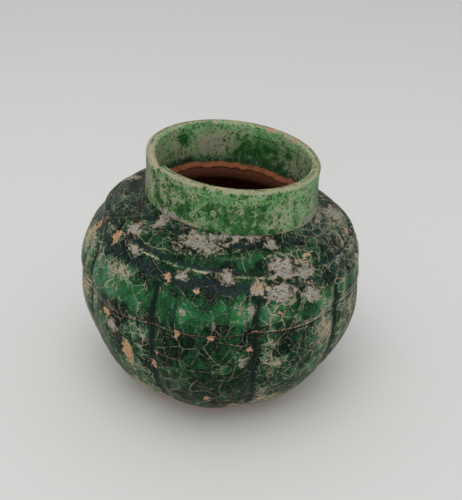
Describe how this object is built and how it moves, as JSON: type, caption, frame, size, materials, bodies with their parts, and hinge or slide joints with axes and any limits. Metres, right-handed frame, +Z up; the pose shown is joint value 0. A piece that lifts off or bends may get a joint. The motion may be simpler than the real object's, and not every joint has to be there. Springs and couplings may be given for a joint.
{
  "type": "vase",
  "caption": "Small melon-lobed earthenware vase with ring mouldings on the shoulder, a short neck set askew and a worn, crackled green glaze.",
  "frame": {"origin": "centre of the foot, on the surface that the vase stands on", "axes": "+Z up along the body's axis, -Y towards the front, with the flaked patch, the chip in the lip at -X"},
  "size_m": [0.0986, 0.0996, 0.0859],
  "materials": {
    "clay": "matt fired clay",
    "slip": "matt smeared clay",
    "glaze_body": "worn, crackled satin glaze",
    "glaze_neck": "worn, mottled satin glaze"
  },
  "bodies": {
    "root": {"lower_body": "clay", "upper_body": "clay", "neck_collar": "clay", "belly_luting_slip": "slip", "neck_luting_slip": "slip", "lower_body_glaze": "glaze_body", "upper_body_glaze": "glaze_body", "neck_glaze_outside": "glaze_neck", "neck_glaze_inside": "glaze_neck"}
  },
  "joints": []
}
